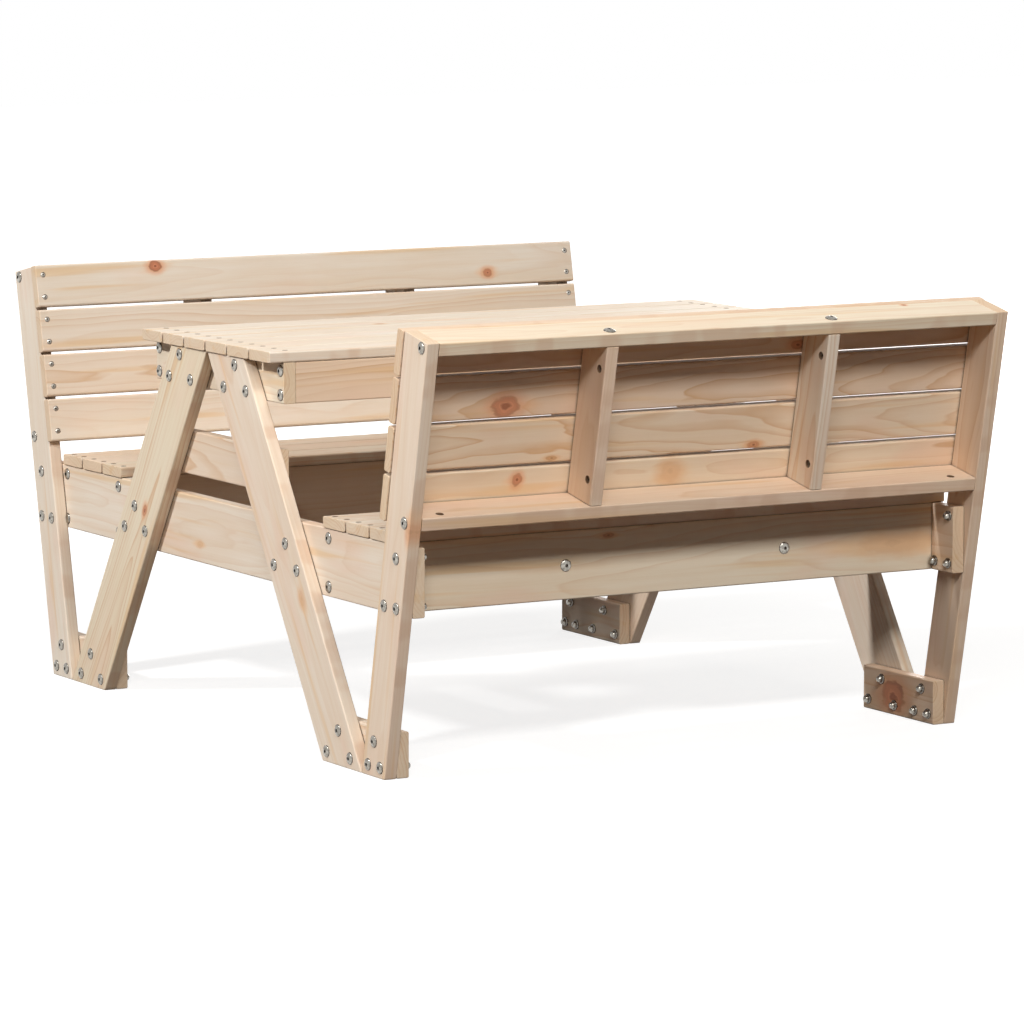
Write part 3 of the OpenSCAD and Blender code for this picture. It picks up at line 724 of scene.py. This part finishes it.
# Noise patterns of the wood: waves per metre along the log and across it, detail, roughness
GRAIN = {
    "slow": ((2.2, 11.0, 11.0), 2.0, 0.45), "quick": ((9.0, 45.0, 45.0), 2.0, 0.5),
    "ripple": ((60, 120, 120), 2.0, 0.5), "warp": ((16, 60, 60), 2.0, 0.5),
    "fibres": ((14, 1300, 1300), 3.0, 0.6), "strands": ((3, 150, 150), 3.0, 0.55),
    "clouds": ((3.0, 16, 16), 3.0, 0.5), "streaks": ((2.4, 60, 60), 2.0, 0.5),
    "blush": ((5.0, 14, 14), 2.0, 0.5), "blocks": ((24, 9, 9), 1.0, 0.4),
    "pores": ((30, 2600, 2600), 2.0, 0.7),
}

# Tints of the wood: from and to which value of their pattern they come in, how strongly, and the colour.
# The blush is stronger on pink boards.
TINTS = {
    "yellow": (0.4, 1.0, 0.5, rgb(236, 222, 190)), "pink": (0.4, 1.0, 0.65, rgb(236, 206, 180)),
    "blush": (0.52, 0.7, 0.45, rgb(236, 200, 178)), "strands": (0.35, 0.7, 0.2, rgb(222, 196, 162)),
    "streaks": (0.58, 0.72, 0.55, rgb(228, 190, 138)), "fibres": (0.45, 0.8, 0.12, rgb(204, 172, 134)),
    "pores": (0.62, 0.78, 0.10, rgb(170, 124, 84)), "blocks": (0.5, 0.62, 0.4, rgb(214, 178, 150)),
}
CLOUDS, PALE_BLUSH, PINK_FOR_BLUSH = (0.3, 0.7), 0.2, 0.5

# Growth rings: how far they wobble, in metres, how their width varies, how dark a ring is from spring to
# autumn, how much the years differ, and how strongly the rings show, from the faintest board to the
# strongest
SLOW_WOBBLE, QUICK_WOBBLE = 0.034, 0.0045
RING_PACE, RING_VARIES = 0.9, 1.6
RING_PROFILE = [(0.0, 0.10), (0.45, 0.16), (0.80, 0.62), (0.93, 1.0), (1.0, 0.12)]
YEAR_SCALE, YEAR_ROW, YEAR_NOISE, YEAR_STRENGTH = 3.1, 7.0, (0.3, 0.7), (0.35, 1.25)
RING_STRENGTH = (0.2, 0.78)

# Ends of the boards, drilled walls and creases. The drilled walls are darker as cut wood, with painted
# shade laid over that. In creases and joints the wood gets painted shade where the next surface is nearer
# than the crease reach, in metres.
END_PALE, END_DARK, END_RINGS = rgb(228, 203, 170), rgb(214, 182, 144), rgb(196, 152, 108)
END_FIBRES, END_STRENGTH, END_RING_STRENGTH = (0.3, 0.75), 0.5, 0.5
HOLE_SHADE_DARK, HOLE_SHADE_PALE, HOLE_SHADE_STRENGTH = rgb(92, 66, 46), rgb(128, 96, 66), 0.9
CREASE_SHADE_REACH, CREASE_SHADE_SAMPLES, CREASE_SHADE_COLOUR = 0.006, 4, rgb(84, 58, 40)
CREASE_SHADE_SKY, CREASE_SHADE_STRENGTH = (0.1, 0.7), 0.8

# Surface of the wood
ROUGH_FIBRES, WOOD_ROUGH = (0.2, 0.8), (0.52, 0.68)
RING_SHINE, END_ROUGH, WOOD_SPECULAR = 0.10, 0.14, 0.3
FIBRE_RELIEF, RING_RELIEF, PORE_RELIEF, RIM_RELIEF = 0.5, 0.35, 0.4, 0.5
WOOD_BUMP = (0.35, 0.00025)

# Knots. Zones are distances from the middle, in half sizes of the knot, from where a zone begins to where
# it is full. Colours in pairs go from a yellow knot to a red one.
RIPPLE, WARP, GRAIN_PUSH = 0.9, 1.5, -0.0055
KNOT_BODY, KNOT_CORE, KNOT_HALO = (1.15, 0.72), (0.44, 0.2), (2.3, 0.8)
RIM_INSIDE, RIM_OUTSIDE = (0.6, 0.92), (1.22, 1.0)
KNOT_RINGS, KNOT_RING_WAVE = 13.0, (-0.3, 1.0)
FLAME_SIZE, FLAME, PUSHED = (0.34, 0.55), (1.15, 0.15), (1.3, 0.0)
FLAME_COLOURS, FLAME_STRENGTH = (rgb(232, 196, 140), rgb(233, 182, 138)), 0.6
HALO_COLOURS, HALO_STRENGTH = (rgb(222, 184, 136), rgb(222, 162, 124)), (0.35, 0.8)
BODY_COLOURS, BODY_STRENGTH = (rgb(204, 160, 112), rgb(204, 132, 98)), 0.95
KNOT_RING_COLOUR, KNOT_RING_STRENGTH = rgb(162, 96, 66), 0.4
RIM_COLOUR, RIM_STRENGTH, RIM_PATCHES = rgb(134, 74, 48), (0.1, 0.75), (0.3, 0.7)
HEART_COLOUR, HEART_STRENGTH = rgb(112, 56, 36), 0.75

# Each kind of wood: its material, its pale and its warm colour, that of its rings, and a ring's width
PINES = {
    "slat_pine": ("pine_slats", rgb(237, 227, 214), rgb(231, 216, 198), rgb(212, 172, 132), 0.0046),
    "frame_pine": ("pine_frame", rgb(241, 231, 217), rgb(235, 219, 201), rgb(214, 176, 138), 0.0054),
}

# Each kind of steel: its material, its colour, that of its blotches, and its least and most roughness
STEELS = {
    "bolt_steel": ("steel_bolts", rgb(172, 168, 160), rgb(126, 121, 113), 0.2, 0.34),
    "screw_steel": ("steel_screws", rgb(180, 176, 168), rgb(134, 129, 121), 0.26, 0.4),
}

# Noise patterns of the steel's blotches and scratches, and how strongly painted shade darkens its sockets and
# rims
BLOTCHES, SCRATCHES = (260.0, 3.0, 0.6), ((900, 5200, 2400), 2.0, 0.6)
BLOTCH_RANGE, ROUGH_RANGE = (0.35, 0.7), (0.3, 0.7)
SCRATCH_RANGE, SCRATCH_STRENGTH, SCRATCH_RELIEF = (0.5, 0.75), 0.25, 0.4
STEEL_SHADE_COLOUR, STEEL_SHADE_STRENGTH = rgb(58, 50, 44), 0.86
STEEL_BUMP = (0.25, 0.00008)

# Floor: what the camera sees, what lights the part from below, and the floor's own glow, which grows
# with the distance from the part. Sizes in metres
FLOOR_SEEN, FLOOR_BOUNCE = (rgb(160, 160, 160), rgb(156, 156, 156)), rgb(66, 44, 30)
FLOOR_MOTTLE, FLOOR_ROUGH = (3.0, 3.0), 0.9
FLOOR_FADE, FLOOR_GLOW = (0.9, 2.4), (0.8, 1.1)
FLOOR_HALF, FLOOR_Z = 14.0, -0.0002

# A dim warm sky: its strength at the horizon and above, its colour, and the height at which it is full,
# as a direction's part along Z
SKY_LOW, SKY_HIGH, SKY_COLOUR, SKY_TOP = 0.08, 0.22, (1.0, 0.95, 0.89), 0.9

# Name, place, direction, long side, short side, watts, colour. The front lamp is a strip along X, so that
# the rails cast clear shadows and the posts do not. The back lamp is low and only fills the far sides.
LAMPS = [("front_lamp", (-1.6, -4.6, 3.9), (0.0, 4.6, -3.6), 4.6, 0.9, 254, (1.0, 0.985, 0.95)),
         ("left_lamp", (-4.9, 0.05, 3.8), (4.9, -0.05, -3.5), 0.45, 0.45, 254, (1.0, 1.0, 0.99)),
         ("back_lamp", (4.2, 4.2, 1.1), (-4.2, -4.2, -0.8), 2.0, 1.6, 140, (1.0, 0.99, 0.96))]

# The photograph's camera, as it was fitted to the edges of the boards
AZIMUTH, ELEVATION, DISTANCE = math.radians(-29.9002), math.radians(7.3892), 7.56516
TARGET = (0.03264, 0.0, 0.25878)
SENSOR, LENS, CLIP = 36.0, 191.287, (0.1, 100.0)


def grain(g, log, name):
    """One of the wood's noise patterns."""
    scale, detail, rough = GRAIN[name]
    return g.noise(g.scaled(log, scale), 1.0, detail, rough)


def tinted(g, colour, value, name, strength=None):
    """The colour with a tint laid over it where the value is high."""
    low, high, amount, tint = TINTS[name]
    return g.mix(g.times(g.between(value, low, high), amount if strength is None else strength), colour, tint)


def knot_shapes(g, name, ripple, warp):
    """Masks of one knot, and how far it pushes the grain aside."""
    x, y, red = g.split(g.attribute(name))
    uneven = g.plus(g.length(g.joined(x, y, 0.0)), ripple)
    reach = g.length(g.joined(g.times(x, FLAME_SIZE[0]), g.times(y, FLAME_SIZE[1]), 0.0))
    flame = g.plus(reach, g.times(warp, WARP))
    return {"body": g.between(uneven, *KNOT_BODY),
            "core": g.between(uneven, *KNOT_CORE),
            "rim": g.times(g.between(uneven, *RIM_INSIDE), g.between(uneven, *RIM_OUTSIDE)),
            "rings": g.between(g.math("SINE", g.times(uneven, KNOT_RINGS)), *KNOT_RING_WAVE),
            "halo": g.between(uneven, *KNOT_HALO),
            "flame": g.between(flame, *FLAME),
            "push": g.times(g.between(reach, *PUSHED), y),
            "red": red}


def knotted(g, colour, knot, core, patchy):
    """The colour with one knot laid over it: its flame, halo, body with rings, rim and dark heart."""
    flame = g.mix(knot["red"], *FLAME_COLOURS)
    colour = g.mix(g.times(knot["flame"], FLAME_STRENGTH), colour, flame)
    halo = g.mix(knot["red"], *HALO_COLOURS)
    colour = g.mix(g.times(knot["halo"], g.between(core, 0.0, 1.0, *HALO_STRENGTH)), colour, halo)
    body = g.mix(knot["red"], *BODY_COLOURS)
    body = g.mix(g.times(knot["rings"], KNOT_RING_STRENGTH), body, KNOT_RING_COLOUR)
    colour = g.mix(g.times(knot["body"], g.times(core, BODY_STRENGTH)), colour, body)
    rim = g.times(g.times(knot["rim"], core), g.between(patchy, *RIM_PATCHES, *RIM_STRENGTH))
    colour = g.mix(rim, colour, RIM_COLOUR)
    heart = g.times(g.times(knot["core"], core), HEART_STRENGTH)
    return g.mix(heart, colour, HEART_COLOUR)


def late_wood(g, log, push, ring_width):
    """How dark the growth rings are, with the grain pushed aside by the knots."""
    _, across, out = g.split(log)
    wobble = g.plus(g.times(g.minus(grain(g, log, "slow"), 0.5), SLOW_WOBBLE),
                    g.times(g.minus(grain(g, log, "quick"), 0.5), QUICK_WOBBLE))
    radius = g.plus(g.length(g.joined(0.0, g.plus(across, push), out)), wobble)
    years = g.times(radius, 1.0 / ring_width)
    pace = g.noise(g.joined(0.0, 0.0, g.times(years, RING_PACE)), 1.0, 1.0)
    years = g.plus(years, g.times(pace, RING_VARIES))
    late = g.ramp(g.math("FRACT", years), RING_PROFILE)
    year = g.noise(g.joined(0.0, YEAR_ROW, g.math("FLOOR", years)), YEAR_SCALE, 0.0)
    return g.times(late, g.between(year, *YEAR_NOISE, *YEAR_STRENGTH))


def pine(name, pale, warm, ring_colour, ring_width):
    """Planed untreated pine: growth rings, fibres, tone from board to board, knots and end grain, with
    painted shade in creases and drilled holes.
    """
    g = Graph(bpy.data.materials.new(name))
    log = g.attribute("log_place")
    yellow, pink, strong = g.split(g.attribute("board_tone"))
    core_1, core_2, _ = g.split(g.attribute("knot_cores"))
    ends, narrow = g.attribute("end_grain", "Fac"), g.attribute("narrow_side", "Fac")
    ripple = g.times(g.minus(grain(g, log, "ripple"), 0.5), RIPPLE)
    warp = g.minus(grain(g, log, "warp"), 0.5)
    first = knot_shapes(g, "knot_1", ripple, warp)
    second = knot_shapes(g, "knot_2", ripple, warp)
    late = late_wood(g, log, g.times(g.plus(first["push"], second["push"]), GRAIN_PUSH), ring_width)
    fibres, pores, blush = grain(g, log, "fibres"), grain(g, log, "pores"), grain(g, log, "blush")

    colour = g.mix(g.between(grain(g, log, "clouds"), *CLOUDS), pale, warm)
    colour = tinted(g, colour, yellow, "yellow")
    colour = tinted(g, colour, pink, "pink")
    colour = tinted(g, colour, blush, "blush",
                    g.between(pink, 0.0, PINK_FOR_BLUSH, PALE_BLUSH, TINTS["blush"][2]))
    colour = tinted(g, colour, grain(g, log, "strands"), "strands")
    colour = tinted(g, colour, grain(g, log, "streaks"), "streaks")
    colour = g.mix(g.times(late, g.between(strong, 0.0, 1.0, *RING_STRENGTH)), colour, ring_colour)
    colour = tinted(g, colour, fibres, "fibres")
    colour = tinted(g, colour, pores, "pores")
    colour = tinted(g, colour, grain(g, log, "blocks"), "blocks", g.times(narrow, TINTS["blocks"][2]))
    colour = knotted(g, colour, first, core_1, blush)
    colour = knotted(g, colour, second, core_2, blush)
    cut = g.mix(g.between(fibres, *END_FIBRES), END_PALE, END_DARK)
    cut = g.mix(g.times(late, END_RING_STRENGTH), cut, END_RINGS)
    colour = g.mix(g.times(ends, END_STRENGTH), colour, cut)
    # Drilled walls: darker cut wood, with painted shade in the holes laid over it
    cut_wood_and_shade = g.mix(fibres, HOLE_SHADE_DARK, HOLE_SHADE_PALE)
    colour = g.mix(g.times(g.attribute("hole_wall", "Fac"), HOLE_SHADE_STRENGTH), colour, cut_wood_and_shade)
    # Painted shade: the wood is darker in creases and joints, where the next surface is near
    open_sky = g.node("AmbientOcclusion", {"Distance": CREASE_SHADE_REACH}, samples=CREASE_SHADE_SAMPLES).outputs["AO"]
    colour = g.mix(g.between(open_sky, *CREASE_SHADE_SKY, CREASE_SHADE_STRENGTH, 0.0), colour, CREASE_SHADE_COLOUR)

    rough = g.minus(g.between(fibres, *ROUGH_FIBRES, *WOOD_ROUGH), g.times(late, RING_SHINE))
    rough = g.plus(rough, g.times(ends, END_ROUGH))
    g.set(Base_Color=colour, Roughness=rough, Specular_IOR_Level=WOOD_SPECULAR)
    height = g.plus(g.times(fibres, FIBRE_RELIEF), g.times(late, RING_RELIEF))
    height = g.minus(height, g.times(pores, PORE_RELIEF))
    g.bump(*WOOD_BUMP, g.plus(height, g.times(first["rim"], RIM_RELIEF)))
    return g.owner


def steel(name, colour, dull, rough_low, rough_high):
    """Zinc-plated steel: satin, blotchy, finely scratched, with painted shade in sockets and round the rim.
    """
    g = Graph(bpy.data.materials.new(name))
    place = g.coordinates("Object")
    blotches = g.noise(place, *BLOTCHES)
    scale, detail, rough = SCRATCHES
    scratches = g.noise(g.scaled(place, scale), 1.0, detail, rough)
    tint = g.mix(g.between(blotches, *BLOTCH_RANGE), colour, dull)
    tint = g.mix(g.times(g.between(scratches, *SCRATCH_RANGE), SCRATCH_STRENGTH), tint, dull)
    # Painted shade: the steel is darkened in sockets and round the rims of heads and nuts
    steel_shading = g.times(g.attribute("steel_shade", "Fac"), STEEL_SHADE_STRENGTH)
    g.set(Base_Color=g.mix(steel_shading, tint, STEEL_SHADE_COLOUR), Metallic=1.0,
          Roughness=g.between(blotches, *ROUGH_RANGE, rough_low, rough_high))
    g.bump(*STEEL_BUMP, g.plus(blotches, g.times(scratches, SCRATCH_RELIEF)))
    return g.owner


def background_ray(g):
    """1 for rays that see the background itself: from the camera, or by way of metal or glass."""
    path = g.node("LightPath")
    seen = g.math("MAXIMUM", path.outputs["Is Camera Ray"], path.outputs["Is Glossy Ray"])
    return g.math("MAXIMUM", seen, path.outputs["Is Transmission Ray"])


def floor_material():
    """A white floor with soft shadows, which gives the part only dim warm light from below."""
    g = Graph(bpy.data.materials.new("floor_white"))
    seen = background_ray(g)
    place = g.coordinates("Object")
    pale = g.mix(g.noise(place, *FLOOR_MOTTLE), *FLOOR_SEEN)
    glow = g.between(g.length(place), *FLOOR_FADE, *FLOOR_GLOW)
    g.set(Base_Color=g.mix(seen, FLOOR_BOUNCE, pale), Roughness=FLOOR_ROUGH, Specular_IOR_Level=0.0,
          Emission_Color=WHITE, Emission_Strength=g.times(seen, glow))
    return g.owner


# Assembly

def drill(boards):
    """Links a piece for each board and cuts the board's holes into its mesh."""
    pieces, cutters = [], []
    for board in boards:
        piece = link("wood_" + board.node, board.mesh)
        for mesh in board.cutters():
            cutters.append(link(mesh.name, mesh))
            hole = piece.modifiers.new("hole", "BOOLEAN")
            hole.operation, hole.solver, hole.object = "DIFFERENCE", "EXACT", cutters[-1]
        pieces.append((board, piece))
    bpy.context.view_layer.update()
    graph = bpy.context.evaluated_depsgraph_get()
    for board, piece in pieces:
        if piece.modifiers:
            board.mesh = bpy.data.meshes.new_from_object(piece.evaluated_get(graph))
    for board, piece in pieces:
        piece.modifiers.clear()
        piece.data = board.mesh
        piece.data.materials.clear()
    for cutter in cutters:
        bpy.data.objects.remove(cutter)
    return pieces


def dress():
    """Replaces every node of the construction by its dressed piece."""
    boards = all_boards()
    screws_from_above, other_screws = screw_places(boards)
    barrels = barrel_places(boards)
    woods = {slot: pine(*look) for slot, look in PINES.items()}
    steels = {slot: steel(*look) for slot, look in STEELS.items()}

    for board, piece in drill(boards.values()):
        place_in_log(board)
        mark_faces(board)
        smooth(piece, WOOD_SMOOTH)
        piece.data.materials.append(woods[board.slot])
        place = board.place.copy()
        place.translation *= MM
        piece.data.transform(place)
        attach(piece, BODY)
        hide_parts(board.node)

    bolts = [(lathe(BOLT_PROFILE, BOLT_SOCKET), bolt_places())]
    nuts = [(lathe(NUT_PROFILE), cap_nut_places())]
    barrel_nuts = [(lathe(BARREL_PROFILE, BARREL_SOCKET), barrels)]
    # The screws from above get painted shade on their heads
    screws = [(screw_solid(SHADED_SCREW), screws_from_above), (screw_solid(), other_screws)]
    for node, groups, slot in (("bolts", bolts, "bolt_steel"), ("cap_nuts", nuts, "bolt_steel"),
                               ("barrel_nuts", barrel_nuts, "bolt_steel"),
                               ("slat_screws", screws, "screw_steel")):
        piece = link("steel_" + node, stamped("steel_" + node, *groups))
        smooth(piece, STEEL_SMOOTH)
        piece.data.materials.append(steels[slot])
        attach(piece, BODY)
        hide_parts(node)


def stage():
    """The floor."""
    bm = bmesh.new()
    bmesh.ops.create_grid(bm, x_segments=2, y_segments=2, size=FLOOR_HALF)
    mesh = bpy.data.meshes.new("floor")
    bm.to_mesh(mesh)
    bm.free()
    floor = link("floor", mesh)
    floor.location.z = FLOOR_Z
    mesh.materials.append(floor_material())


def light():
    """A dim warm sky that looks white, a strip from the front, a small lamp from the left, and a low fill."""
    world = bpy.data.worlds.new("studio")
    bpy.context.scene.world = world
    g = Graph(world, "Background")
    _, _, height = g.split(g.coordinates("Generated"))
    low, high = ((*[strength * c for c in SKY_COLOUR], 1.0) for strength in (SKY_LOW, SKY_HIGH))
    dome = g.mix(g.between(height, 0.0, SKY_TOP, interpolation="LINEAR"), low, high)
    g.set(Color=g.mix(background_ray(g), dome, WHITE))
    for name, place, direction, long_side, short_side, watts, colour in LAMPS:
        lamp = bpy.data.lights.new(name, "AREA")
        lamp.shape, lamp.size, lamp.size_y = "RECTANGLE", long_side, short_side
        lamp.energy, lamp.color = watts, colour
        holder = link(name, lamp)
        holder.location = place
        holder.rotation_euler = Vector(direction).to_track_quat("-Z", "Y").to_euler()


def camera():
    """A long lens, from the left and slightly above."""
    back = Vector((math.sin(AZIMUTH) * math.cos(ELEVATION), -math.cos(AZIMUTH) * math.cos(ELEVATION),
                   math.sin(ELEVATION)))
    data = bpy.data.cameras.new("photo_camera")
    data.sensor_width, data.lens = SENSOR, LENS
    data.clip_start, data.clip_end = CLIP
    holder = link("photo_camera", data)
    holder.location = Vector(TARGET) + back * DISTANCE
    holder.rotation_euler = (-back).to_track_quat("-Z", "Y").to_euler()
    bpy.context.scene.camera = holder


bpy.context.scene.view_settings.view_transform = "Standard"
dress()
stage()
light()
camera()
